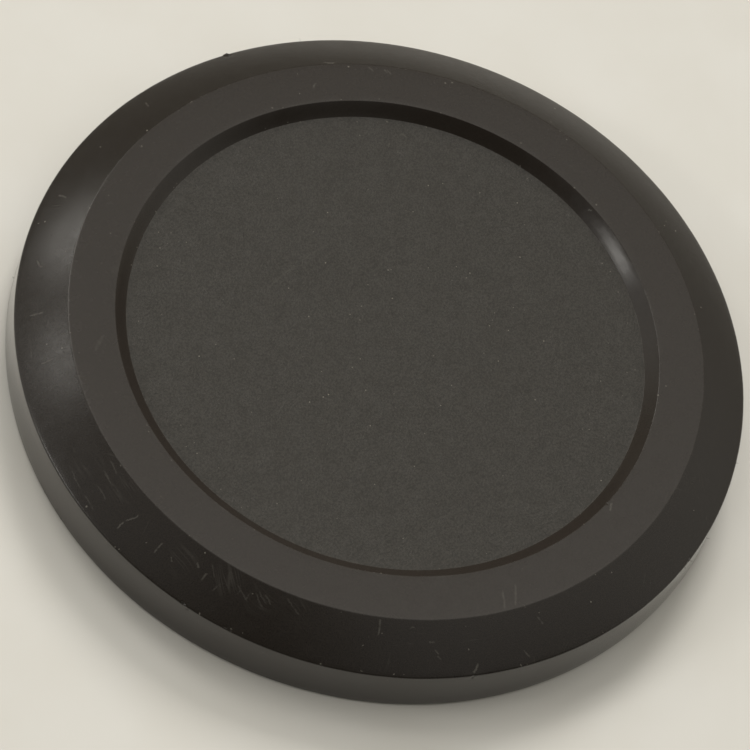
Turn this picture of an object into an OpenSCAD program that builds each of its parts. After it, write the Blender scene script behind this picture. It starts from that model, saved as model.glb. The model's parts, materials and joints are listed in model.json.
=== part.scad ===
// Slip-on lens cap, moulded in one piece.
// It lies on its open rim: z = 0 is the rim plane and +Z points out of the front face.
// +Y points at the gate mark, the 12 o'clock of the cap.

/* [Fit over the lens] */
// Inside diameter of the skirt, the same as the lens rim that it grips
bore_d = 54; // [40:0.5:90]
// Lead-in chamfer round the mouth of the skirt
lead_in = 0.4; // [0.1:0.05:0.7]

/* [Skirt] */
// Thickness of the skirt at the corner where it meets the front
skirt_t = 1.5; // [1.2:0.1:2.5]
// Height of the skirt outside, from the open rim up to the corner
skirt_h = 4.05; // [3.5:0.05:8]
// Draft of the skirt, in degrees: it widens this much towards the open rim
skirt_draft = 3; // [0:0.5:6]
// Round of the outer edge of the open rim
rim_round = 0.25; // [0.1:0.05:0.5]
// Round of the corner between the skirt and the sloping band
corner_round = 0.4; // [0.1:0.05:0.8]

/* [Front] */
// Thickness of the front, square to its surfaces
front_t = 1.4; // [1:0.1:2]
// Width of the sloping band, seen from the front
band_w = 3.8; // [2:0.1:6]
// Height that the band climbs from the corner to the flat ring
band_rise = 2; // [1:0.05:2.5]
// Round of the crease where the band turns into the flat ring
crease_round = 0.6; // [0.4:0.1:3]
// Width of the flat ring
ring_w = 3.55; // [2:0.05:6]
// Depth of the sunk panel below the ring
panel_depth = 0.9; // [0.4:0.05:1.2]
// Width of the slope between the ring and the panel, seen from the front
slope_w = 0.95; // [0.3:0.05:2]
// Small round of the ring's inner edge
edge_round = 0.12; // [0.05:0.01:0.3]
// Round of the corners inside the cap
inner_round = 0.5; // [0.2:0.1:1]

/* [Gate mark] */
// Place of the trimmed gate, in degrees anticlockwise from +X
gate_angle = 88; // [0:1:359]
// Width of the stub along the edge
gate_w = 0.8; // [0.4:0.1:2]
// How far the stub stands proud of the corner
gate_out = 0.2; // [0.1:0.05:0.4]

/* [Hidden] */
$fn = 180;

// Straight pieces in one rounded corner of the outline
arc_steps = 6;

bore_r = bore_d / 2;
corner_r = bore_r + skirt_t;
rim_r = corner_r + skirt_h * tan(skirt_draft);
ring_r = corner_r - band_w;
edge_r = ring_r - ring_w;
panel_r = edge_r - slope_w;
top_z = skirt_h + band_rise;
panel_z = top_z - panel_depth;

// The front's outline from the corner to the axis, as [radius, height]
front = [[corner_r, skirt_h], [ring_r, top_z], [edge_r, top_z], [panel_r, panel_z], [0, panel_z]];

function unit(v) = v / norm(v);
function turned(v, a) = [v.x * cos(a) - v.y * sin(a), v.x * sin(a) + v.y * cos(a)];

// Inward normal of stretch i of the front's outline
function into_wall(i) = turned(unit(front[i + 1] - front[i]), 90);

// Corner i of the front's outline, carried to the inner face at a constant thickness
function inner_corner(i) =
    let (a = into_wall(i - 1), b = into_wall(i))
    front[i] + (a + b) * front_t / (1 + a * b);

// Height at which the bore's wall runs into the sloping ceiling under the band
bore_top = let (p = inner_corner(1), slope = band_rise / band_w)
    p.y - (bore_r - p.x) * slope;

// Corner b between a and c: half its angle, the centre of a round of radius r, and that round's points
function half_angle(a, b, c) = acos(unit(a - b) * unit(c - b)) / 2;
function round_centre(a, b, c, r) = b + unit(unit(a - b) + unit(c - b)) * r / sin(half_angle(a, b, c));
function rounded(a, b, c, r) =
    r == 0 ? [b] :
    let (
        half = half_angle(a, b, c),
        centre = round_centre(a, b, c, r),
        spoke = b + unit(a - b) * r / tan(half) - centre,
        sweep = sign(cross(c - b, a - b)) * (180 - 2 * half)
    )
    [for (i = [0:arc_steps]) centre + turned(spoke, sweep * i / arc_steps)];

// An outline from [point, corner radius] pairs
function outline(corners) =
    let (n = len(corners))
    [for (i = [0:n - 1])
        each rounded(corners[(i + n - 1) % n][0], corners[i][0], corners[(i + 1) % n][0], corners[i][1])];

// The wall's section: over the front, down the skirt, and back along the inside
section = [
    [front[4], 0],
    [front[3], 0],
    [front[2], edge_round],
    [front[1], crease_round],
    [front[0], corner_round],
    [[rim_r, 0], rim_round],
    [[bore_r + lead_in, 0], 0],
    [[bore_r, lead_in], 0],
    [[bore_r, bore_top], 0],
    [inner_corner(1), inner_round],
    [inner_corner(2), inner_round],
    [inner_corner(3), 0],
    [[0, panel_z - front_t], 0],
];

module shell() {
    rotate_extrude() polygon(outline(section));
}

// What is left of the gate where it was trimmed off the corner, square to the corner's round
module gate_stub() {
    centre = round_centre(front[1], front[0], [rim_r, 0], corner_round);
    out = unit(front[0] - centre);
    rotate([0, 0, gate_angle])
        translate([centre.x, 0, centre.y])
            rotate([0, -atan2(out.y, out.x), 0])
                translate([0, -gate_w / 2, -gate_w / 2])
                    cube([corner_round + gate_out, gate_w, gate_w]);
}

module cap() {
    color("#2b2826") union() {
        shell();
        gate_stub();
    }
}

cap();
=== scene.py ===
import json
import math
import random

import bmesh
import bpy
import numpy as np
from mathutils import Matrix, Vector
from mathutils.noise import noise


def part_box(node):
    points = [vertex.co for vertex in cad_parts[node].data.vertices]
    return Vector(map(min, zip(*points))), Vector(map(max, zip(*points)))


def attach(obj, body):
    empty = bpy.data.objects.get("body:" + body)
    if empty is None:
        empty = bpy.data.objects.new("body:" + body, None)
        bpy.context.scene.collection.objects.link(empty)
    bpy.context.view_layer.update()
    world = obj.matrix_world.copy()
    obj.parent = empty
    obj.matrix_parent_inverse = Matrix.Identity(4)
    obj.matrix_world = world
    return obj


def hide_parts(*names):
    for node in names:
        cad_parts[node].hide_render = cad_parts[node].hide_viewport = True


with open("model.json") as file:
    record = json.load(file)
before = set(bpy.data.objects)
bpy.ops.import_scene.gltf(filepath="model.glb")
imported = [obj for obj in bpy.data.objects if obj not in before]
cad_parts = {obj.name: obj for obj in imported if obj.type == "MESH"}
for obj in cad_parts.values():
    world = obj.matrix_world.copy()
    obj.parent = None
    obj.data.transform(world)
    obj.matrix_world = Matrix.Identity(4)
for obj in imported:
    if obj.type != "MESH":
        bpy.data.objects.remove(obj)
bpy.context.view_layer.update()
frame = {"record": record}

mm = 0.001
scene = bpy.context.scene
scene.view_settings.view_transform = "Standard"

# Lengths in the dictionaries are millimetres and angles are degrees, anticlockwise from the cap's +X


def polar(radius, angle, height=0.0):
    turn = math.radians(angle)
    return Vector((radius * math.cos(turn), radius * math.sin(turn), height))


print("Camera")

shot = {
    "azimuth": -47.8,
    "elevation": 56.57,
    "roll": 22.05,
    "distance": 271.3,
    "aim": (-2.18, -2.21, 4.04),
    "lens": 171.3,
    "sensor": 36.0,
}


def towards(azimuth, elevation):
    # Unit vector from the cap, with the azimuth counted from the camera's right-hand side
    side = math.radians(azimuth + shot["azimuth"])
    up = math.radians(elevation)
    return Vector((math.cos(side) * math.cos(up), math.sin(side) * math.cos(up), math.sin(up)))


def makeCamera():
    data = bpy.data.cameras.new("camera")
    data.lens = shot["lens"]
    data.sensor_width = shot["sensor"]
    data.clip_start = 0.01
    data.clip_end = 20.0
    camera = bpy.data.objects.new("camera", data)
    scene.collection.objects.link(camera)
    turn = (
        Matrix.Rotation(math.radians(shot["azimuth"]), 4, "Z")
        @ Matrix.Rotation(math.radians(90 - shot["elevation"]), 4, "X")
        @ Matrix.Rotation(math.radians(shot["roll"]), 4, "Z")
    )
    place = (Vector(shot["aim"]) + towards(-90, shot["elevation"]) * shot["distance"]) * mm
    camera.matrix_world = Matrix.Translation(place) @ turn
    scene.camera = camera


makeCamera()

print("Node helpers")


class Graph:
    # Shorthand for building a node tree
    def __init__(self, tree):
        self.tree = tree

    def node(self, kind, **settings):
        made = self.tree.nodes.new(kind)
        for key, value in settings.items():
            setattr(made, key, value)
        return made

    def put(self, socket, value):
        if isinstance(value, bpy.types.NodeSocket):
            self.tree.links.new(value, socket)
        elif value is not None:
            socket.default_value = value

    def math(self, operation, a, b=None, c=None, clamp=False):
        made = self.node("ShaderNodeMath", operation=operation, use_clamp=clamp)
        for socket, value in zip(made.inputs, (a, b, c)):
            self.put(socket, value)
        return made.outputs[0]

    def vector(self, operation, a, b=None, scale=None):
        made = self.node("ShaderNodeVectorMath", operation=operation)
        self.put(made.inputs[0], a)
        self.put(made.inputs[1], b)
        if scale is not None:
            self.put(made.inputs["Scale"], scale)
        wanted = "Value" if operation in ("DOT_PRODUCT", "LENGTH", "DISTANCE") else "Vector"
        return made.outputs[wanted]

    def ramp(self, value, low, high, lowOut=0.0, highOut=1.0, smooth=True):
        made = self.node("ShaderNodeMapRange")
        made.interpolation_type = "SMOOTHSTEP" if smooth else "LINEAR"
        for name, entry in (("Value", value), ("From Min", low), ("From Max", high),
                            ("To Min", lowOut), ("To Max", highOut)):
            self.put(made.inputs[name], entry)
        return made.outputs["Result"]

    def noise(self, vector, scale, detail=2.0, rough=0.5, wanted="Fac"):
        made = self.node("ShaderNodeTexNoise", noise_dimensions="3D")
        self.put(made.inputs["Vector"], vector)
        self.put(made.inputs["Scale"], scale)
        self.put(made.inputs["Detail"], detail)
        self.put(made.inputs["Roughness"], rough)
        return made.outputs[wanted]

    def mix(self, amount, a, b):
        made = self.node("ShaderNodeMix", data_type="RGBA")
        self.put(made.inputs["Factor"], amount)
        self.put(made.inputs["A"], a)
        self.put(made.inputs["B"], b)
        return made.outputs["Result"]


def newGroup(name, inputs, outputs):
    # inputs: name -> (kind, default); outputs: name -> kind
    group = bpy.data.node_groups.new(name, "ShaderNodeTree")
    for label, (kind, default) in inputs.items():
        socket = group.interface.new_socket(label, in_out="INPUT", socket_type=kind)
        if default is not None:
            socket.default_value = default
    for label, kind in outputs.items():
        group.interface.new_socket(label, in_out="OUTPUT", socket_type=kind)
    graph = Graph(group)
    return group, graph, graph.node("NodeGroupInput").outputs, graph.node("NodeGroupOutput").inputs


def useGroup(graph, group, **values):
    made = graph.node("ShaderNodeGroup")
    made.node_tree = group
    for key, value in values.items():
        graph.put(made.inputs[key], value)
    return made.outputs


print("Shared effects")

number = "NodeSocketFloat"
vectorKind = "NodeSocketVector"


def makeHairScratches():
    # Long thin lines: the level lines of a stretched, gently warped noise, kept only in some patches
    group, g, given, out = newGroup(
        "hairScratches",
        {"Vector": (vectorKind, None), "Turn": (number, 0.0), "Fineness": (number, 900.0),
         "Stretch": (number, 30.0), "Width": (number, 0.01), "Share": (number, 0.5), "Shift": (number, 0.0)},
        {"Mask": number},
    )
    moved = g.vector("ADD", given["Vector"], g.vector("SCALE", (0.031, 0.017, 0.023), scale=given["Shift"]))
    sway = g.vector("SUBTRACT", g.noise(moved, 140.0, 1.0, wanted="Color"), (0.5, 0.5, 0.5))
    turned = g.node("ShaderNodeVectorRotate", rotation_type="Z_AXIS")
    g.put(turned.inputs["Vector"], g.vector("ADD", moved, g.vector("SCALE", sway, scale=0.004)))
    g.put(turned.inputs["Angle"], given["Turn"])
    slow = g.math("DIVIDE", given["Fineness"], given["Stretch"])
    shape = g.node("ShaderNodeCombineXYZ")
    g.put(shape.inputs["X"], slow)
    g.put(shape.inputs["Y"], given["Fineness"])
    g.put(shape.inputs["Z"], slow)
    level = g.noise(g.vector("MULTIPLY", turned.outputs[0], shape.outputs[0]), 1.0, 0.0)
    away = g.math("ABSOLUTE", g.math("SUBTRACT", level, 0.5))
    line = g.ramp(away, 0.0, given["Width"], 1.0, 0.0)
    patch = g.noise(moved, 420.0, 2.0)
    start = g.math("SUBTRACT", 0.75, g.math("MULTIPLY", given["Share"], 0.5))
    keep = g.ramp(patch, start, g.math("ADD", start, 0.12))
    g.put(out["Mask"], g.math("MULTIPLY", line, keep))
    return group


def makeSpecks():
    # Round specks of uneven strength, one in some cells of a fine mesh of cells
    group, g, given, out = newGroup(
        "specks",
        {"Vector": (vectorKind, None), "Fineness": (number, 2000.0), "Size": (number, 0.12),
         "Share": (number, 0.1)},
        {"Mask": number},
    )
    cells = g.node("ShaderNodeTexVoronoi", voronoi_dimensions="3D", feature="F1")
    g.put(cells.inputs["Vector"], given["Vector"])
    g.put(cells.inputs["Scale"], given["Fineness"])
    split = g.node("ShaderNodeSeparateColor")
    g.put(split.inputs[0], cells.outputs["Color"])
    size = g.math("MULTIPLY", given["Size"], g.math("ADD", 0.5, split.outputs[1]))
    inside = g.ramp(cells.outputs["Distance"], g.math("MULTIPLY", size, 0.4), size, 1.0, 0.0)
    chosen = g.math("LESS_THAN", split.outputs[0], given["Share"])
    strength = g.math("ADD", 0.25, g.math("MULTIPLY", split.outputs[2], 0.75))
    g.put(out["Mask"], g.math("MULTIPLY", g.math("MULTIPLY", inside, chosen), strength))
    return group


def makePlacedScratch():
    # One scratch from Start to End, bowed sideways and fading at its ends
    group, g, given, out = newGroup(
        "placedScratch",
        {"Vector": (vectorKind, None), "Start": (vectorKind, None), "End": (vectorKind, None),
         "Width": (number, 0.00004), "Bend": (number, 0.0)},
        {"Mask": number},
    )
    along = g.vector("SUBTRACT", given["End"], given["Start"])
    reach = g.vector("SUBTRACT", given["Vector"], given["Start"])
    length = g.vector("DOT_PRODUCT", along, along)
    share = g.math("DIVIDE", g.vector("DOT_PRODUCT", reach, along), length, clamp=True)
    flat = g.vector("CROSS_PRODUCT", along, (0.0, 0.0, 1.0))
    bow = g.math("MULTIPLY", g.math("MULTIPLY", share, g.math("SUBTRACT", 1.0, share)), given["Bend"])
    foot = g.vector("ADD", given["Start"], g.vector("SCALE", along, scale=share))
    foot = g.vector("ADD", foot, g.vector("SCALE", flat, scale=bow))
    away = g.vector("DISTANCE", given["Vector"], foot)
    line = g.ramp(away, g.math("MULTIPLY", given["Width"], 0.25), given["Width"], 1.0, 0.0)
    ends = g.math("MULTIPLY", g.ramp(share, 0.0, 0.2), g.ramp(share, 0.8, 1.0, 1.0, 0.0))
    g.put(out["Mask"], g.math("MULTIPLY", line, ends))
    return group


def makePlacedSpeck():
    # One bright fleck
    group, g, given, out = newGroup(
        "placedSpeck",
        {"Vector": (vectorKind, None), "Place": (vectorKind, None), "Size": (number, 0.0001)},
        {"Mask": number},
    )
    away = g.vector("DISTANCE", given["Vector"], given["Place"])
    g.put(out["Mask"], g.ramp(away, g.math("MULTIPLY", given["Size"], 0.4), given["Size"], 1.0, 0.0))
    return group


def makeRingLine():
    # A narrow line round the axis at one radius: Near is whole, the other output is broken up and carries
    # the worn edges with their painted highlight line
    group, g, given, out = newGroup(
        "ringLine",
        {"Vector": (vectorKind, None), "Radius": (number, 0.02), "Width": (number, 0.0002)},
        {"Near": number, "WornAndGlint": number},
    )
    level = g.vector("MULTIPLY", given["Vector"], (1.0, 1.0, 0.0))
    away = g.math("ABSOLUTE", g.math("SUBTRACT", g.vector("LENGTH", level), given["Radius"]))
    near = g.ramp(away, 0.0, given["Width"], 1.0, 0.0)
    broken = g.ramp(g.noise(given["Vector"], 800.0, 3.0), 0.38, 0.62)
    g.put(out["Near"], near)
    g.put(out["WornAndGlint"], g.math("MULTIPLY", near, broken))
    return group


hairScratches = makeHairScratches()
specks = makeSpecks()
placedScratch = makePlacedScratch()
placedSpeck = makePlacedSpeck()
ringLine = makeRingLine()

print("Materials")

plastic = {
    # The lighter colour of scratches and worn edges; along the edges it is partly a painted highlight line
    "scuffAndGlint": (0.075, 0.070, 0.062, 1.0),
    "dust": (0.34, 0.32, 0.28, 1.0),
    # The pits' near-black is painted shade inside them
    "pitShade": (0.003, 0.0026, 0.0022, 1.0),
    "wearAndGlintRadii": (20.2, 21.22, 24.68, 28.47),
    "wearAndGlintWidth": 0.2,
}

# Colour and its spread, roughness and its spread, the grain's height and size, and the shares of the wear,
# whose lightening of the edges is partly a painted highlight line
finishes = {
    # The panel is lighter than the rest of the moulding: its colour carries a painted sheen, standing in for
    # the gloss on the grain that the key lamp does not give
    "panel": {"color": (0.0285, 0.0262, 0.0232), "tone": 0.30, "rough": 0.48, "vary": 0.08, "grain": 0.060,
              "grainSize": 0.15, "scratch": 0.10, "dust": 0.016, "pits": 0.012, "wornAndGlint": 0.25, "coat": 0.0},
    "slope": {"color": (0.0175, 0.0135, 0.0110), "tone": 0.10, "rough": 0.20, "vary": 0.04, "grain": 0.0008,
              "grainSize": 0.20, "scratch": 0.15, "dust": 0.003, "pits": 0.0, "wornAndGlint": 0.3, "coat": 0.0},
    "ring": {"color": (0.0165, 0.0128, 0.0104), "tone": 0.18, "rough": 0.26, "vary": 0.03, "grain": 0.0030,
             "grainSize": 0.13, "scratch": 0.12, "dust": 0.003, "pits": 0.0, "wornAndGlint": 0.4, "coat": 0.0},
    "band": {"color": (0.0128, 0.0100, 0.0083), "tone": 0.18, "rough": 0.24, "vary": 0.03, "grain": 0.0070,
             "grainSize": 0.12, "scratch": 0.32, "dust": 0.003, "pits": 0.0, "wornAndGlint": 0.4, "coat": 0.0},
    # The skirt is lighter than the band: partly haze on the side wall, partly a painted reflection of the
    # bright floor beside it
    "skirt": {"color": (0.0215, 0.0166, 0.0132), "tone": 0.08, "rough": 0.19, "vary": 0.02, "grain": 0.001,
              "grainSize": 0.30, "scratch": 0.10, "dust": 0.0015, "pits": 0.0, "wornAndGlint": 0.3, "coat": 0.85},
    "inside": {"color": (0.0140, 0.0110, 0.0092), "tone": 0.15, "rough": 0.40, "vary": 0.05, "grain": 0.003,
               "grainSize": 0.30, "scratch": 0.15, "dust": 0.004, "pits": 0.0, "wornAndGlint": 0.0, "coat": 0.0},
}

# Hair scratches: turn, fineness, stretch, width, share
hairSets = (
    (0.5, 2100.0, 36.0, 0.016, 0.34),
    (1.9, 1700.0, 26.0, 0.013, 0.30),
    (-0.7, 2600.0, 44.0, 0.017, 0.32),
)

# Scratches that stand out: finish, start and end as (radius, angle), width, bow, strength
standoutScratches = {
    "longRadial": ("band", (24.8, -121), (26.0, -121), 0.10, 0.04, 1.00),
    "cornerCut": ("band", (28.3, -106), (27.7, -105), 0.11, 0.40, 1.00),
    "leftOuter": ("band", (27.6, -166), (26.9, -166), 0.09, -0.15, 0.90),
    "leftInner": ("band", (26.9, -166), (25.9, -165), 0.08, 0.12, 0.80),
    "leftHook": ("band", (27.1, -159), (26.1, -159), 0.09, -0.30, 0.80),
    "ringPairLeft": ("ring", (23.0, -98), (24.6, -99), 0.10, 0.00, 0.60),
    "ringPairRight": ("ring", (22.8, -95), (24.6, -97), 0.10, 0.02, 0.55),
    "ringBack": ("ring", (23.0, 76), (22.5, 77), 0.09, 0.30, 0.80),
    "lipNotch": ("ring", (21.4, -67), (21.8, -69), 0.12, 0.10, 0.90),
    "slopeTick": ("slope", (20.8, 11), (21.0, 10), 0.08, 0.10, 0.80),
    "panelArc": ("panel", (10.0, 135), (9.0, 112), 0.11, -0.10, 0.30),
    "panelArcEnd": ("panel", (9.0, 112), (9.3, 83), 0.11, -0.10, 0.25),
}

# Scratches strewn over a stretch of a finish; lean is the run from the radial, give or take the spread
scratchGroups = {
    "nearLeftLong": {"finish": "band", "count": 6, "radii": (25.0, 25.6), "angles": (-151, -131),
                     "lengths": (0.9, 1.7), "lean": 52, "spread": 8, "widths": (0.06, 0.09),
                     "strengths": (0.25, 0.40)},
    "nearLeftShort": {"finish": "band", "count": 6, "radii": (25.7, 27.0), "angles": (-158, -140),
                      "lengths": (0.3, 0.7), "lean": 20, "spread": 60, "widths": (0.07, 0.10),
                      "strengths": (0.35, 0.75)},
    "nearShort": {"finish": "band", "count": 6, "radii": (25.2, 27.6), "angles": (-119, -90),
                  "lengths": (0.3, 0.8), "lean": 60, "spread": 40, "widths": (0.07, 0.09),
                  "strengths": (0.45, 0.75)},
    "leftAlong": {"finish": "band", "count": 6, "radii": (25.0, 27.9), "angles": (-178, -173),
                  "lengths": (1.2, 1.7), "lean": 86, "spread": 4, "widths": (0.06, 0.09),
                  "strengths": (0.25, 0.40)},
    "farLeft": {"finish": "band", "count": 5, "radii": (26.4, 27.9), "angles": (104, 172),
                "lengths": (0.6, 1.1), "lean": 160, "spread": 40, "widths": (0.08, 0.11),
                "strengths": (0.45, 0.65)},
    "farCrease": {"finish": "band", "count": 2, "radii": (24.8, 24.9), "angles": (62, 72),
                  "lengths": (0.8, 1.2), "lean": 88, "spread": 4, "widths": (0.07, 0.08),
                  "strengths": (0.65, 0.80)},
    "farRing": {"finish": "ring", "count": 3, "radii": (24.2, 24.6), "angles": (60, 72),
                "lengths": (0.4, 0.7), "lean": 215, "spread": 10, "widths": (0.08, 0.09),
                "strengths": (0.65, 0.80)},
    "leftRing": {"finish": "ring", "count": 2, "radii": (22.3, 23.1), "angles": (162, 166),
                 "lengths": (1.2, 1.7), "lean": 230, "spread": 6, "widths": (0.10, 0.11),
                 "strengths": (0.28, 0.32)},
    "panelTicks": {"finish": "panel", "count": 3, "radii": (17.0, 19.6), "angles": (-20, 150),
                   "lengths": (0.3, 0.8), "lean": 40, "spread": 50, "widths": (0.08, 0.09),
                   "strengths": (0.55, 0.75)},
}

# Bright flecks strewn over a stretch of a finish
fleckGroups = {
    "nearCorner": {"finish": "band", "count": 10, "radii": (28.15, 28.42), "angles": (-179, -94)},
    "nearBand": {"finish": "band", "count": 7, "radii": (24.9, 27.3), "angles": (-182, -75)},
    "farBand": {"finish": "band", "count": 6, "radii": (24.8, 28.2), "angles": (-30, 145)},
    "ring": {"finish": "ring", "count": 6, "radii": (24.0, 24.6), "angles": (-8, 130)},
    "lip": {"finish": "ring", "count": 5, "radii": (21.3, 21.8), "angles": (-92, 136)},
    "panelEdge": {"finish": "panel", "count": 5, "radii": (18.9, 20.1), "angles": (-24, 147)},
}
fleckSizes = (0.05, 0.09)
fleckStrengths = (0.35, 0.75)


def placeScratches():
    # The scratches in plan, the strewn ones from a fixed seed
    chance = random.Random(11)
    placed = []
    for finish, start, end, width, bow, strength in standoutScratches.values():
        placed.append((finish, polar(*start), polar(*end), width, bow, strength))
    for group in scratchGroups.values():
        for count in range(group["count"]):
            angle = chance.uniform(*group["angles"])
            start = polar(chance.uniform(*group["radii"]), angle)
            lean = angle + group["lean"] + group["spread"] * chance.uniform(-1, 1)
            end = start + polar(chance.uniform(*group["lengths"]), lean)
            width = chance.uniform(*group["widths"])
            bow = chance.uniform(-0.2, 0.2)
            placed.append((group["finish"], start, end, width, bow, chance.uniform(*group["strengths"])))
    return placed


def placeFlecks():
    chance = random.Random(23)
    placed = []
    for group in fleckGroups.values():
        for count in range(group["count"]):
            spot = polar(chance.uniform(*group["radii"]), chance.uniform(*group["angles"]))
            size = chance.uniform(*fleckSizes)
            placed.append((group["finish"], spot, size, chance.uniform(*fleckStrengths)))
    return placed


allScratches = placeScratches()
allFlecks = placeFlecks()

# Patches of fine parallel scuffs: finish, place (radius, angle), reach, strength, run from the radial
scuffs = {
    "nearLeft": ("band", (25.6, -147), 1.60, 0.50, 55),
    "nearMiddle": ("band", (25.8, -141), 1.50, 0.35, 55),
    "near": ("band", (25.4, -134), 1.40, 0.30, 55),
    "nearLeftOuter": ("band", (26.2, -155), 1.50, 0.45, 55),
    "left": ("band", (26.4, -178), 2.00, 0.30, 86),
    "leftLower": ("band", (25.6, -170), 1.60, 0.35, 86),
    "leftUpper": ("band", (26.0, 165), 1.60, 0.30, 86),
}


def scuffMask(g, place, name):
    # The fine lines lie in polar coordinates, so that they follow the cap round
    split = g.node("ShaderNodeSeparateXYZ")
    g.put(split.inputs[0], place)
    radius = g.vector("LENGTH", g.vector("MULTIPLY", place, (1.0, 1.0, 0.0)))
    unrolled = g.node("ShaderNodeCombineXYZ")
    g.put(unrolled.inputs[0], radius)
    turn = g.math("ARCTAN2", split.outputs[1], split.outputs[0])
    g.put(unrolled.inputs[1], g.math("MULTIPLY", turn, 26 * mm))
    plan = g.vector("MULTIPLY", place, (1.0, 1.0, 0.0))
    total = None
    for run in sorted({entry[4] for entry in scuffs.values() if entry[0] == name}):
        near = None
        for finish, spot, reach, strength, way in scuffs.values():
            if finish == name and way == run:
                away = g.vector("DISTANCE", plan, polar(*spot) * mm)
                patch = g.ramp(away, 0.2 * reach * mm, reach * mm, strength, 0.0)
                near = patch if near is None else g.math("MAXIMUM", near, patch)
        lines = useGroup(g, hairScratches, Vector=unrolled.outputs[0], Turn=math.radians(-run),
                         Fineness=3400.0, Stretch=22.0, Width=0.07, Share=0.9, Shift=3.0)["Mask"]
        rubbed = g.math("MULTIPLY", lines, near)
        total = rubbed if total is None else g.math("MAXIMUM", total, rubbed)
    return total


def makeFinish(name):
    look = finishes[name]
    material = bpy.data.materials.new(f"{name}Finish")
    material.use_nodes = True
    material.node_tree.nodes.clear()
    g = Graph(material.node_tree)
    place = g.node("ShaderNodeTexCoord").outputs["Object"]

    # The mould's grain
    grainScale = 1000.0 / look["grainSize"]
    height = g.math("MULTIPLY", g.noise(place, grainScale, 2.0, 0.6), look["grain"] * mm)

    # Hair scratches, thin everywhere, and patches of scuffs
    scratches = None
    for count, (turn, fineness, stretch, width, share) in enumerate(hairSets):
        mask = useGroup(g, hairScratches, Vector=place, Turn=turn, Fineness=fineness, Stretch=stretch,
                        Width=width, Share=share, Shift=2.0 + 5.0 * count)["Mask"]
        scratches = mask if scratches is None else g.math("MAXIMUM", scratches, mask)
    scratches = g.math("MULTIPLY", scratches, look["scratch"])
    rubbed = scuffMask(g, place, name)
    if rubbed is not None:
        scratches = g.math("MAXIMUM", scratches, rubbed)

    # The named and the strewn scratches, and the flecks, shaken and broken up by fine noise, in plan
    wobble = g.vector("SUBTRACT", g.noise(place, 1500.0, 1.0, wanted="Color"), (0.5, 0.5, 0.5))
    shaken = g.vector("ADD", place, g.vector("SCALE", wobble, scale=0.00014))
    ragged = g.vector("SUBTRACT", g.noise(place, 9000.0, 1.0, wanted="Color"), (0.5, 0.5, 0.5))
    shaken = g.vector("ADD", shaken, g.vector("SCALE", ragged, scale=0.00016))
    shaken = g.vector("MULTIPLY", shaken, (1.0, 1.0, 0.0))
    deep, bright = None, None
    for finish, start, end, width, bow, strength in allScratches:
        if finish == name:
            mask = useGroup(g, placedScratch, Vector=shaken, Start=start * mm, End=end * mm,
                            Width=width * mm, Bend=bow)["Mask"]
            mask = g.math("MULTIPLY", mask, strength)
            deep = mask if deep is None else g.math("MAXIMUM", deep, mask)
    for finish, spot, size, strength in allFlecks:
        if finish == name:
            mask = useGroup(g, placedSpeck, Vector=shaken, Place=spot * mm, Size=size * mm)["Mask"]
            mask = g.math("MULTIPLY", mask, strength)
            bright = mask if bright is None else g.math("MAXIMUM", bright, mask)
    if deep is not None:
        deep = g.math("MULTIPLY", deep, g.ramp(g.noise(place, 2600.0, 2.0), 0.30, 0.55, 0.3))

    # Wear and caught dust along the edges; their lighter colour is partly wear and partly a painted
    # highlight line along the crease and the lip
    nearEdge, wornEdgeAndGlint = None, None
    for radius in plastic["wearAndGlintRadii"]:
        line = useGroup(g, ringLine, Vector=place, Radius=radius * mm, Width=plastic["wearAndGlintWidth"] * mm)
        nearEdge = line["Near"] if nearEdge is None else g.math("MAXIMUM", nearEdge, line["Near"])
        wornEdgeAndGlint = line["WornAndGlint"] if wornEdgeAndGlint is None else g.math("MAXIMUM", wornEdgeAndGlint, line["WornAndGlint"])
    wornEdgeAndGlint = g.math("MULTIPLY", wornEdgeAndGlint, look["wornAndGlint"])
    dust = useGroup(g, specks, Vector=place, Fineness=4200.0, Size=0.22, Share=look["dust"])["Mask"]
    edgeDust = useGroup(g, specks, Vector=place, Fineness=3000.0, Size=0.22, Share=0.12)["Mask"]
    edgeDust = g.math("MULTIPLY", edgeDust, g.math("MULTIPLY", nearEdge, min(1.0, 2 * look["wornAndGlint"])))
    dust = g.math("MAXIMUM", dust, edgeDust)
    if bright is not None:
        dust = g.math("MAXIMUM", dust, bright)

    tone = g.ramp(g.noise(g.vector("ADD", place, (0.013, 0.005, 0.009)), grainScale, 2.0, 0.6), 0.3, 0.7)
    dark = (*(c * (1 - look["tone"]) for c in look["color"]), 1.0)
    light = (*(c * (1 + look["tone"]) for c in look["color"]), 1.0)
    color = g.mix(tone, dark, light)
    # Pits: a slight dent in the bump, and a near-black colour mixed in that paints the shade inside them
    if look["pits"]:
        pits = useGroup(g, specks, Vector=g.vector("ADD", place, (0.011, 0.007, 0.003)), Fineness=3600.0,
                        Size=0.26, Share=look["pits"])["Mask"]
        color = g.mix(g.math("MULTIPLY", pits, 0.8), color, plastic["pitShade"])
        height = g.math("SUBTRACT", height, g.math("MULTIPLY", pits, 0.012 * mm))
    # The edges are lightened: partly wear, partly a painted highlight line along the crease and the lip
    color = g.mix(g.math("MULTIPLY", wornEdgeAndGlint, 0.15), color, plastic["scuffAndGlint"])
    color = g.mix(g.math("MULTIPLY", scratches, 0.45), color, plastic["scuffAndGlint"])
    if deep is not None:
        color = g.mix(g.math("MULTIPLY", deep, 0.8), color, plastic["scuffAndGlint"])
    color = g.mix(g.math("MULTIPLY", dust, 0.6), color, plastic["dust"])

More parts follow.
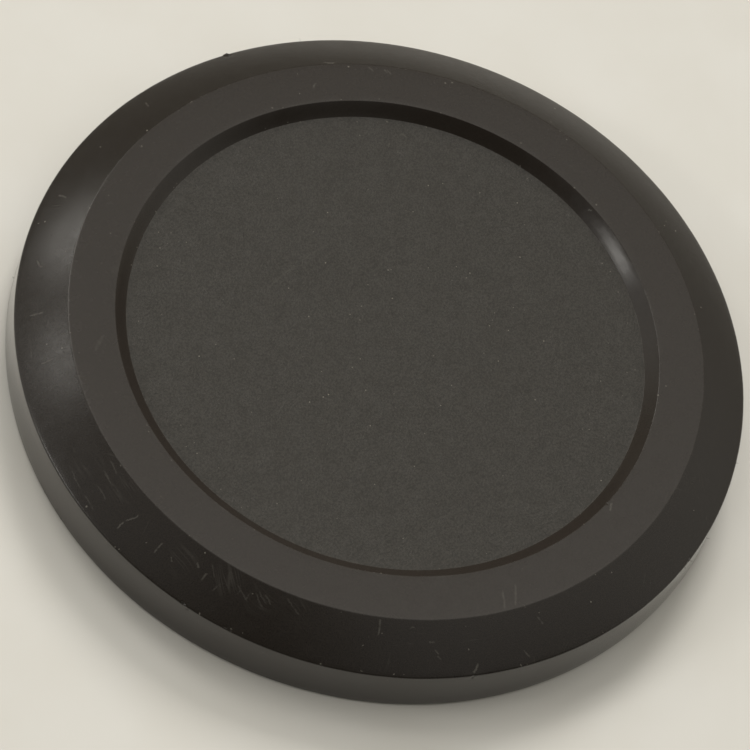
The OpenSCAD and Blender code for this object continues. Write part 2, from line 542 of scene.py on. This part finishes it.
    rough = g.ramp(g.noise(place, 900.0, 2.0, 0.7), 0.25, 0.75, look["rough"] - look["vary"],
                   look["rough"] + look["vary"])
    rough = g.math("ADD", rough, g.math("MULTIPLY", scratches, 0.06))
    if deep is not None:
        rough = g.math("ADD", rough, g.math("MULTIPLY", deep, 0.20))
    rough = g.math("ADD", rough, g.math("MULTIPLY", dust, 0.4), clamp=True)

    bump = g.node("ShaderNodeBump")
    bump.inputs["Strength"].default_value = 1.0
    bump.inputs["Distance"].default_value = 1.0
    g.put(bump.inputs["Height"], height)

    shader = g.node("ShaderNodeBsdfPrincipled")
    shader.inputs["IOR"].default_value = 1.4
    shader.inputs["Coat Weight"].default_value = look["coat"]
    shader.inputs["Coat Roughness"].default_value = 0.12
    g.put(shader.inputs["Base Color"], color)
    g.put(shader.inputs["Roughness"], rough)
    g.put(shader.inputs["Normal"], bump.outputs["Normal"])
    g.put(g.node("ShaderNodeOutputMaterial").inputs["Surface"], shader.outputs[0])
    return material


finishMaterials = {name: makeFinish(name) for name in finishes}

print("Cap body")

capSizes = {
    "cornerRadius": 28.5,
    "cornerHeight": 4.05,
    "ringRadius": 24.7,
    "edgeRadius": 21.15,
    "panelRadius": 20.2,
    "panelDepth": 0.9,
    "frontThickness": 1.4,
    "leadIn": 0.4,
    "cornerRound": 0.45,
    "creaseRound": 0.6,
    "edgeRound": 0.12,
    "footRound": 0.06,
    "rimRound": 0.25,
    "innerRound": 0.5,
    "bandCrown": 0.06,
    "ringCrown": 0.012,
    "step": 0.55,
    "segments": 600,
    "filletPoints": 6,
}


def boreRadius():
    for mount in frame["record"]["mounts"]:
        if mount["name"] == "lens_bore":
            return mount["dims"]["r_mm"]


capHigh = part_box("cap")[1]
rimRadius = capHigh.x / mm
topHeight = capHigh.z / mm


def makeOutlineTree():
    # The wall's section is laid out corner by corner, rounded, divided, and turned round the axis
    tree = bpy.data.node_groups.new("turnedWall", "GeometryNodeTree")
    sizes = {
        "Rim Radius": rimRadius, "Bore Radius": boreRadius(), "Top Height": topHeight,
        "Corner Radius": capSizes["cornerRadius"], "Corner Height": capSizes["cornerHeight"],
        "Ring Radius": capSizes["ringRadius"], "Edge Radius": capSizes["edgeRadius"],
        "Panel Radius": capSizes["panelRadius"], "Panel Depth": capSizes["panelDepth"],
        "Thickness": capSizes["frontThickness"], "Lead In": capSizes["leadIn"],
        "Corner Round": capSizes["cornerRound"], "Crease Round": capSizes["creaseRound"],
        "Edge Round": capSizes["edgeRound"], "Foot Round": capSizes["footRound"],
        "Rim Round": capSizes["rimRound"], "Inner Round": capSizes["innerRound"],
        "Band Crown": capSizes["bandCrown"], "Ring Crown": capSizes["ringCrown"],
        "Step": capSizes["step"],
    }
    counts = {"Segments": capSizes["segments"], "Fillet Points": capSizes["filletPoints"]}
    for label in sizes:
        tree.interface.new_socket(label, in_out="INPUT", socket_type="NodeSocketFloat")
    for label in counts:
        tree.interface.new_socket(label, in_out="INPUT", socket_type="NodeSocketInt")
    tree.interface.new_socket("Material", in_out="INPUT", socket_type="NodeSocketMaterial")
    tree.interface.new_socket("Geometry", in_out="OUTPUT", socket_type="NodeSocketGeometry")
    g = Graph(tree)
    given = g.node("NodeGroupInput").outputs

    def add(a, b):
        return g.math("ADD", a, b)

    def less(a, b):
        return g.math("SUBTRACT", a, b)

    def times(a, b):
        return g.math("MULTIPLY", a, b)

    def over(a, b):
        return g.math("DIVIDE", a, b)

    top, corner, ring = given["Top Height"], given["Corner Radius"], given["Ring Radius"]
    edge, panel, wall = given["Edge Radius"], given["Panel Radius"], given["Thickness"]
    cornerUp = given["Corner Height"]
    floorUp = less(top, given["Panel Depth"])
    # Slope of the band and of the step to the panel, and the wall's thickness carried round each bend
    bandAngle = g.math("ARCTANGENT", over(less(top, cornerUp), less(corner, ring)))
    stepAngle = g.math("ARCTANGENT", over(given["Panel Depth"], less(edge, panel)))
    bandMiter = times(wall, g.math("TANGENT", times(bandAngle, 0.5)))
    stepMiter = times(wall, g.math("TANGENT", times(stepAngle, 0.5)))
    ceiling = less(top, wall)
    innerRing = less(ring, bandMiter)
    boreTop = less(ceiling, times(less(given["Bore Radius"], innerRing), g.math("TANGENT", bandAngle)))
    # The middle of the band, pushed out by twice the crown, because its round takes half of that back
    crownOut = times(given["Band Crown"], 2.0)
    bandMid = (
        add(add(times(corner, 0.5), times(ring, 0.5)), times(crownOut, g.math("SINE", bandAngle))),
        add(add(times(cornerUp, 0.5), times(top, 0.5)), times(crownOut, g.math("COSINE", bandAngle))),
    )
    corners = [
        (0.0, floorUp, 0.0),
        (panel, floorUp, given["Foot Round"]),
        (edge, top, given["Edge Round"]),
        (add(times(edge, 0.35), times(ring, 0.65)), top, 60.0),
        (ring, less(top, given["Ring Crown"]), given["Crease Round"]),
        (bandMid[0], bandMid[1], 60.0),
        (corner, cornerUp, given["Corner Round"]),
        (given["Rim Radius"], 0.0, given["Rim Round"]),
        (add(given["Bore Radius"], given["Lead In"]), 0.0, 0.0),
        (given["Bore Radius"], given["Lead In"], 0.0),
        (given["Bore Radius"], boreTop, 0.0),
        (innerRing, ceiling, given["Inner Round"]),
        (add(edge, stepMiter), ceiling, given["Inner Round"]),
        (add(panel, stepMiter), less(floorUp, wall), 0.0),
        (0.0, less(floorUp, wall), 0.0),
    ]
    chain = g.node("GeometryNodeMeshLine", mode="OFFSET")
    chain.inputs["Count"].default_value = len(corners)
    pick = g.node("GeometryNodeIndexSwitch", data_type="VECTOR")
    rounds = g.node("GeometryNodeIndexSwitch", data_type="FLOAT")
    while len(pick.index_switch_items) < len(corners):
        pick.index_switch_items.new()
        rounds.index_switch_items.new()
    cornerIndex = g.node("GeometryNodeInputIndex").outputs[0]
    g.put(pick.inputs[0], cornerIndex)
    g.put(rounds.inputs[0], cornerIndex)
    for place, (across, up, bend) in enumerate(corners):
        point = g.node("ShaderNodeCombineXYZ")
        g.put(point.inputs[0], across)
        g.put(point.inputs[1], up)
        g.put(pick.inputs[place + 1], point.outputs[0])
        g.put(rounds.inputs[place + 1], bend)
    laid = g.node("GeometryNodeSetPosition")
    g.put(laid.inputs["Geometry"], chain.outputs[0])
    g.put(laid.inputs["Position"], pick.outputs[0])
    line = g.node("GeometryNodeMeshToCurve")
    g.put(line.inputs["Mesh"], laid.outputs[0])
    rounded = g.node("GeometryNodeFilletCurve", mode="POLY")
    g.put(rounded.inputs["Curve"], line.outputs[0])
    g.put(rounded.inputs["Count"], given["Fillet Points"])
    g.put(rounded.inputs["Radius"], rounds.outputs[0])
    rounded.inputs["Limit Radius"].default_value = True

    # Long stretches are divided, so that nicks and highlights have points to sit on
    here = g.node("GeometryNodeInputPosition").outputs[0]
    nextPoint = g.node("GeometryNodeFieldAtIndex", data_type="FLOAT_VECTOR", domain="POINT")
    g.put(nextPoint.inputs["Index"], g.math("ADD", g.node("GeometryNodeInputIndex").outputs[0], 1.0))
    g.put(nextPoint.inputs["Value"], here)
    gap = g.vector("DISTANCE", here, nextPoint.outputs[0])
    split = g.node("ShaderNodeSeparateXYZ")
    g.put(split.inputs[0], here)
    onPanel = g.math("LESS_THAN", g.math("ADD", split.outputs[0], 0.5), given["Panel Radius"])
    reach = g.math("MULTIPLY", given["Step"], g.math("ADD", 1.0, g.math("MULTIPLY", onPanel, 5.0)))
    cuts = g.math("FLOOR", g.math("DIVIDE", gap, reach))
    divided = g.node("GeometryNodeSubdivideCurve")
    g.put(divided.inputs["Curve"], rounded.outputs[0])
    g.put(divided.inputs["Cuts"], g.math("MINIMUM", cuts, 14.0))

    count = g.node("GeometryNodeAttributeDomainSize", component="CURVE")
    g.put(count.inputs["Geometry"], divided.outputs[0])
    sheet = g.node("GeometryNodeMeshGrid")
    around = g.math("ADD", given["Segments"], 1.0)
    g.put(sheet.inputs["Vertices X"], count.outputs["Point Count"])
    g.put(sheet.inputs["Vertices Y"], around)
    mine = g.node("GeometryNodeInputIndex").outputs[0]
    row = g.math("FLOOR", g.math("DIVIDE", g.math("ADD", mine, 0.5), around))
    column = g.math("SUBTRACT", mine, g.math("MULTIPLY", row, around))
    lookUp = g.node("GeometryNodeSampleIndex", data_type="FLOAT_VECTOR", domain="POINT")
    g.put(lookUp.inputs["Geometry"], divided.outputs[0])
    g.put(lookUp.inputs["Value"], g.node("GeometryNodeInputPosition").outputs[0])
    g.put(lookUp.inputs["Index"], row)
    section = g.node("ShaderNodeSeparateXYZ")
    g.put(section.inputs[0], lookUp.outputs[0])
    turn = g.math("MULTIPLY", g.math("DIVIDE", column, given["Segments"]), 2 * math.pi)
    turned = g.node("ShaderNodeCombineXYZ")
    g.put(turned.inputs[0], g.math("MULTIPLY", section.outputs[0], g.math("COSINE", turn)))
    g.put(turned.inputs[1], g.math("MULTIPLY", section.outputs[0], g.math("SINE", turn)))
    g.put(turned.inputs[2], section.outputs[1])
    wrapped = g.node("GeometryNodeSetPosition")
    g.put(wrapped.inputs["Geometry"], sheet.outputs["Mesh"])
    g.put(wrapped.inputs["Position"], g.vector("SCALE", turned.outputs[0], scale=mm))
    closed = g.node("GeometryNodeMergeByDistance")
    g.put(closed.inputs["Geometry"], wrapped.outputs[0])
    closed.inputs["Distance"].default_value = 0.002 * mm
    real = g.node("GeometryNodeRealizeInstances")
    g.put(real.inputs[0], closed.outputs[0])
    finish = g.node("GeometryNodeSetMaterial")
    g.put(finish.inputs["Geometry"], real.outputs[0])
    g.put(finish.inputs["Material"], given["Material"])
    g.put(g.node("NodeGroupOutput").inputs[0], finish.outputs[0])
    return tree, {**sizes, **counts}


def settle(holder, name, tree, values):
    # Runs a tree on an object and gives the result back as a plain object
    modifier = holder.modifiers.new("tree", "NODES")
    modifier.node_group = tree
    for item in tree.interface.items_tree:
        if item.item_type == "SOCKET" and item.in_out == "INPUT" and item.name in values:
            modifier[item.identifier] = values[item.name]
    scene.collection.objects.link(holder)
    bpy.context.view_layer.update()
    depsgraph = bpy.context.evaluated_depsgraph_get()
    mesh = bpy.data.meshes.new_from_object(holder.evaluated_get(depsgraph), depsgraph=depsgraph)
    holder.modifiers.remove(modifier)
    bpy.data.objects.remove(holder)
    mesh.name = name
    made = bpy.data.objects.new(name, mesh)
    scene.collection.objects.link(made)
    return made


def coordinates(mesh):
    flat = np.empty(len(mesh.vertices) * 3)
    mesh.vertices.foreach_get("co", flat)
    return flat.reshape(-1, 3)


def zoneOf(radius, height):
    outsideRadius = capSizes["cornerRadius"] + (rimRadius - capSizes["cornerRadius"]) * (
        1 - height / capSizes["cornerHeight"])
    panelHeight = topHeight - capSizes["panelDepth"]
    if height < capSizes["cornerHeight"] - 0.05:
        return "skirt" if radius > outsideRadius - 0.5 * capSizes["cornerRound"] else "inside"
    if radius < capSizes["panelRadius"]:
        return "panel" if height > panelHeight - 0.3 else "inside"
    if radius < capSizes["edgeRadius"] - 0.02:
        return "slope" if height > panelHeight - 0.05 else "inside"
    if radius < capSizes["ringRadius"]:
        return "ring" if height > topHeight - 0.3 else "inside"
    slant = (topHeight - capSizes["cornerHeight"]) / (capSizes["cornerRadius"] - capSizes["ringRadius"])
    bandHeight = topHeight - (radius - capSizes["ringRadius"]) * slant
    return "band" if height > bandHeight - 0.5 else "inside"


# Dents: place (radius, angle, height), size along and across the edge, depth (below zero stands proud)
nicks = {
    "gateTear": ((28.50, 88, 4.12), 0.42, 0.20, -0.16),
    "gateHollow": ((28.20, 88, 4.30), 0.46, 0.13, 0.10),
    "cornerLeft": ((28.44, -151, 4.08), 0.30, 0.16, 0.09),
    "cornerLeftLow": ((28.52, -150, 3.84), 0.22, 0.14, 0.07),
    "cornerFront": ((28.40, -144, 4.12), 0.20, 0.12, 0.06),
    "cornerFrontLow": ((28.44, -143, 4.08), 0.16, 0.12, 0.06),
    "cornerScratch": ((28.50, -106, 3.85), 0.13, 0.30, 0.08),
    "cornerRagged": ((28.48, -64, 4.00), 0.36, 0.16, 0.09),
    "cornerRight": ((28.46, -44, 4.05), 0.18, 0.12, 0.06),
    "cornerBack": ((28.46, 104, 4.05), 0.22, 0.12, 0.06),
    "lipFront": ((21.20, -68, 6.03), 0.16, 0.12, 0.05),
    "rimLeft": ((28.69, -175, 0.26), 0.16, 0.16, 0.06),
    "rimLeftBack": ((28.69, 180, 0.24), 0.14, 0.14, 0.05),
    "rimFront": ((28.69, -54, 0.24), 0.16, 0.16, 0.06),
}
edgeWaves = {
    "radii": (21.18, 28.48),
    "reach": 0.35,
    "depth": 0.008,
    "fineness": 0.9,
}


def refine(body):
    # Smaller faces where the nicks are
    shape = bmesh.new()
    shape.from_mesh(body.data)
    for margin, cuts in ((0.45, 2), (0.12, 1)):
        chosen = set()
        shape.edges.index_update()
        for place, along, across, _ in nicks.values():
            spot = polar(*place) * mm
            far = (margin + 1.2 * max(along, across)) * mm
            chosen.update(face for face in shape.faces if (face.calc_center_median() - spot).length < far)
        # In order of their index, so that every run gives the same mesh
        edges = sorted({edge for face in chosen for edge in face.edges}, key=lambda edge: edge.index)
        bmesh.ops.subdivide_edges(shape, edges=edges, cuts=cuts, use_grid_fill=True)
    shape.to_mesh(body.data)
    shape.free()


def carve(body):
    mesh = body.data
    points = coordinates(mesh)
    facing = np.empty(len(mesh.vertices) * 3)
    mesh.vertices.foreach_get("normal", facing)
    facing = facing.reshape(-1, 3)
    moved = points.copy()
    radii = np.hypot(points[:, 0], points[:, 1]) / mm
    heights = points[:, 2] / mm
    outside = heights > topHeight - capSizes["panelDepth"] - 0.1
    outside |= (heights > capSizes["cornerHeight"] - 0.6) & (radii > capSizes["cornerRadius"] - 0.2)

    # Worn edges are never quite even
    for radius in edgeWaves["radii"]:
        for index in np.flatnonzero(outside & (np.abs(radii - radius) < edgeWaves["reach"])):
            fade = 1 - abs(radii[index] - radius) / edgeWaves["reach"]
            wave = noise(Vector(points[index]) * edgeWaves["fineness"] / mm)
            moved[index] -= facing[index] * (wave + 0.35) * fade * edgeWaves["depth"] * mm

    for place, along, across, depth in nicks.values():
        spot = np.array(polar(*place)) * mm
        side = np.array(polar(1.0, place[1] + 90.0))
        near = np.flatnonzero(np.linalg.norm(points - spot, axis=1) < 3 * max(along, across) * mm)
        for index in near:
            if facing[index][2] < -0.1:
                continue
            reach = (points[index] - spot) / mm
            sideways = float(reach @ side)
            rest = float(np.linalg.norm(reach - sideways * side))
            ragged = noise(Vector(points[index]) * 4.0 / mm)
            size = math.hypot(sideways / along, rest / across) * (1 + 0.5 * ragged)
            dip = max(0.0, 1 - size * size) ** 2
            rough = 1 + 0.7 * noise(Vector(points[index]) * 7.0 / mm)
            moved[index] -= facing[index] * depth * dip * rough * mm
    moved[:, 2] = np.clip(moved[:, 2], 0.0, topHeight * mm)
    mesh.vertices.foreach_set("co", moved.ravel())
    mesh.update()


def makeCapBody():
    tree, values = makeOutlineTree()
    values["Material"] = finishMaterials["inside"]
    holder = bpy.data.objects.new("capHolder", bpy.data.meshes.new("capHolder"))
    body = settle(holder, "capBody", tree, values)
    body.data.set_sharp_from_angle(angle=math.radians(34))
    refine(body)
    mesh = body.data
    mesh.materials.clear()
    order = list(finishMaterials)
    for name in order:
        mesh.materials.append(finishMaterials[name])
    centres = np.empty(len(mesh.polygons) * 3)
    mesh.polygons.foreach_get("center", centres)
    centres = centres.reshape(-1, 3) / mm
    radii = np.hypot(centres[:, 0], centres[:, 1])
    zones = {}
    slots = []
    for radius, height in zip(np.round(radii, 2), np.round(centres[:, 2], 2)):
        key = (radius, height)
        if key not in zones:
            zones[key] = order.index(zoneOf(radius, height))
        slots.append(zones[key])
    carve(body)
    mesh.polygons.foreach_set("material_index", slots)
    mesh.polygons.foreach_set("use_smooth", [True] * len(mesh.polygons))
    return body


def tell(body):
    shape = bmesh.new()
    shape.from_mesh(body.data)
    openEdges = sum(1 for edge in shape.edges if not edge.is_manifold)
    volume = shape.calc_volume(signed=True) / mm ** 3
    triangles = sum(len(face.verts) - 2 for face in shape.faces)
    shape.free()
    low, high = coordinates(body.data).min(0) / mm, coordinates(body.data).max(0) / mm
    print(f"  {body.name}: {triangles} triangles, {openEdges} open edges, {volume:.1f} mm3")
    print(f"  from {low.round(3)} to {high.round(3)}")


capBody = makeCapBody()
tell(capBody)
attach(capBody, "root")
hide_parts("cap")

print("Flash")

# Slivers of flash: root (radius, angle, height), way it points (outwards, along, up), length, thickness
slivers = {
    "front": ((28.46, -64, 3.95), (0.7, 0.6, 0.3), 0.45, 0.07),
    "frontLow": ((28.52, -65, 3.72), (0.8, -0.5, -0.2), 0.32, 0.06),
    "right": ((28.46, -44, 4.02), (0.9, 0.4, 0.2), 0.34, 0.06),
    "rimRight": ((28.66, -54, 0.30), (0.9, 0.5, 0.1), 0.42, 0.07),
    "back": ((28.46, 75, 4.05), (0.7, 0.5, 0.6), 0.36, 0.05),
    "rimLeft": ((28.66, 142, 0.30), (0.9, -0.4, 0.1), 0.34, 0.06),
    "corner": ((28.46, -151, 4.02), (0.6, 0.8, 0.4), 0.28, 0.05),
}


def makeFlash(rings=7, sides=6):
    shape = bmesh.new()
    for root, way, length, thickness in slivers.values():
        out = polar(1.0, root[1])
        along = polar(1.0, root[1] + 90.0)
        heading = (out * way[0] + along * way[1] + Vector((0, 0, way[2]))).normalized()
        across = heading.cross(Vector((0.2, 0.3, 0.9))).normalized()
        over = heading.cross(across)
        loops = []
        for ring in range(rings):
            share = ring / rings
            bend = 0.35 * length * share * share
            centre = polar(*root) + heading * (length * share - 0.12) + across * bend
            wide = thickness * 0.5 * (1 - share) ** 0.7 * (1 + 0.3 * noise(centre * 7.0))
            loops.append([
                shape.verts.new((centre + across * wide * math.cos(2 * math.pi * k / sides)
                                 + over * 0.5 * wide * math.sin(2 * math.pi * k / sides)) * mm)
                for k in range(sides)
            ])
        tip = shape.verts.new((polar(*root) + heading * (length - 0.12) + across * 0.35 * length) * mm)
        shape.faces.new(loops[0])
        for lower, upper in zip(loops, loops[1:]):
            for k in range(sides):
                shape.faces.new((lower[k], lower[(k + 1) % sides], upper[(k + 1) % sides], upper[k]))
        for k in range(sides):
            shape.faces.new((loops[-1][k], loops[-1][(k + 1) % sides], tip))
    bmesh.ops.recalc_face_normals(shape, faces=shape.faces)
    mesh = bpy.data.meshes.new("flashSlivers")
    shape.to_mesh(mesh)
    shape.free()
    mesh.polygons.foreach_set("use_smooth", [True] * len(mesh.polygons))
    flash = bpy.data.objects.new("flashSlivers", mesh)
    scene.collection.objects.link(flash)
    mesh.materials.append(finishMaterials["skirt"])
    return flash


flash = makeFlash()
tell(flash)
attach(flash, "root")

print("Floor and light")

surround = {
    "floorColor": (0.614, 0.606, 0.584, 1.0),
    "floorRadius": 1500.0,
    "wallTint": (1.0, 0.95, 0.76, 1.0),
    "glowTint": (1.0, 0.972, 0.92, 1.0),
    "frontLevel": 0.11,
    "backLevel": 0.29,
    "viewLevel": 1.05,
}

# Broad glows of the room: azimuth, elevation, cosine where it starts, cosine where it is full, level
glows = {
    "overhead": (72.0, 70.0, 0.80, 0.985, 1.35),
    "leftWall": (187.0, 14.0, 0.74, 0.97, 0.85),
    "leftTop": (-150.0, 56.0, 0.86, 1.0, 0.45),
    "backWall": (70.0, 26.0, 0.78, 0.98, 0.20),
    "right": (24.0, 32.0, 0.76, 0.98, 0.50),
    "rightTop": (-28.0, 58.0, 0.84, 1.0, 0.50),
}


def makeFloor():
    sides = 96
    mesh = bpy.data.meshes.new("floor")
    points = [tuple(polar(surround["floorRadius"] * mm, 360 * i / sides)) for i in range(sides)]
    mesh.from_pydata(points, [], [list(range(sides))])
    floor = bpy.data.objects.new("floor", mesh)
    scene.collection.objects.link(floor)
    material = bpy.data.materials.new("paperFloor")
    material.use_nodes = True
    material.node_tree.nodes.clear()
    g = Graph(material.node_tree)
    place = g.node("ShaderNodeTexCoord").outputs["Object"]
    mottle = g.ramp(g.noise(place, 90.0, 4.0), 0.3, 0.7)
    pale = surround["floorColor"]
    warm = tuple(c * k for c, k in zip(pale, (0.97, 0.965, 0.955, 1.0)))
    shader = g.node("ShaderNodeBsdfPrincipled")
    g.put(shader.inputs["Base Color"], g.mix(mottle, pale, warm))
    shader.inputs["Roughness"].default_value = 0.9
    shader.inputs["Specular IOR Level"].default_value = 0.1
    g.put(g.node("ShaderNodeOutputMaterial").inputs["Surface"], shader.outputs[0])
    mesh.materials.append(material)


def makeWorld():
    # A soft room: bright overhead and behind the cap, plain at the sides, dark behind the camera
    world = bpy.data.worlds.new("softRoom")
    scene.world = world
    world.use_nodes = True
    world.node_tree.nodes.clear()
    g = Graph(world.node_tree)
    direction = g.node("ShaderNodeTexCoord").outputs["Generated"]
    behind = g.vector("DOT_PRODUCT", direction, towards(90, 0))
    wall = g.ramp(behind, -0.45, 0.35, surround["frontLevel"], surround["backLevel"])
    glowing = 0.0
    for azimuth, elevation, start, full, strength in glows.values():
        near = g.vector("DOT_PRODUCT", direction, towards(azimuth, elevation))
        glow = g.math("POWER", g.ramp(near, start, full, smooth=False), 2.0)
        glowing = g.math("ADD", glowing, g.math("MULTIPLY", glow, strength))
    room = g.node("ShaderNodeAddShader")
    for socket, tint, level in zip(room.inputs, ("wallTint", "glowTint"), (wall, glowing)):
        background = g.node("ShaderNodeBackground")
        background.inputs["Color"].default_value = surround[tint]
        g.put(background.inputs["Strength"], level)
        g.put(socket, background.outputs[0])
    plain = g.node("ShaderNodeBackground")
    plain.inputs["Color"].default_value = surround["floorColor"]
    plain.inputs["Strength"].default_value = surround["viewLevel"]
    seen = g.node("ShaderNodeMixShader")
    g.put(seen.inputs[0], g.node("ShaderNodeLightPath").outputs["Is Camera Ray"])
    g.put(seen.inputs[1], room.outputs[0])
    g.put(seen.inputs[2], plain.outputs[0])
    g.put(g.node("ShaderNodeOutputWorld").inputs["Surface"], seen.outputs[0])


# Soft panels: azimuth from the camera's right, elevation, distance, width, height, power
panels = {
    "leftBack": (148.0, 31.0, 700.0, 130.0, 100.0, 0.28),
    "left": (170.0, 43.0, 700.0, 120.0, 90.0, 0.24),
    "leftTop": (133.0, 51.0, 700.0, 140.0, 300.0, 0.75),
    "leftFront": (-157.0, 28.5, 700.0, 190.0, 80.0, 0.60),
    "key": (96.0, 34.5, 3000.0, 1050.0, 1050.0, 62.0),
}


def makePanels():
    for name, (azimuth, elevation, distance, width, height, power) in panels.items():
        data = bpy.data.lights.new(f"{name}Panel", "AREA")
        data.shape = "RECTANGLE"
        data.size = width * mm
        data.size_y = height * mm
        data.energy = power
        data.color = (1.0, 0.97, 0.91)
        lamp = bpy.data.objects.new(f"{name}Panel", data)
        lamp.visible_glossy = name != "key"
        scene.collection.objects.link(lamp)
        out = towards(azimuth, elevation)
        facing = out.to_track_quat("Z", "Y").to_matrix().to_4x4()
        lamp.matrix_world = Matrix.Translation(out * distance * mm) @ facing


makeFloor()
makeWorld()
makePanels()

print("Scene built")
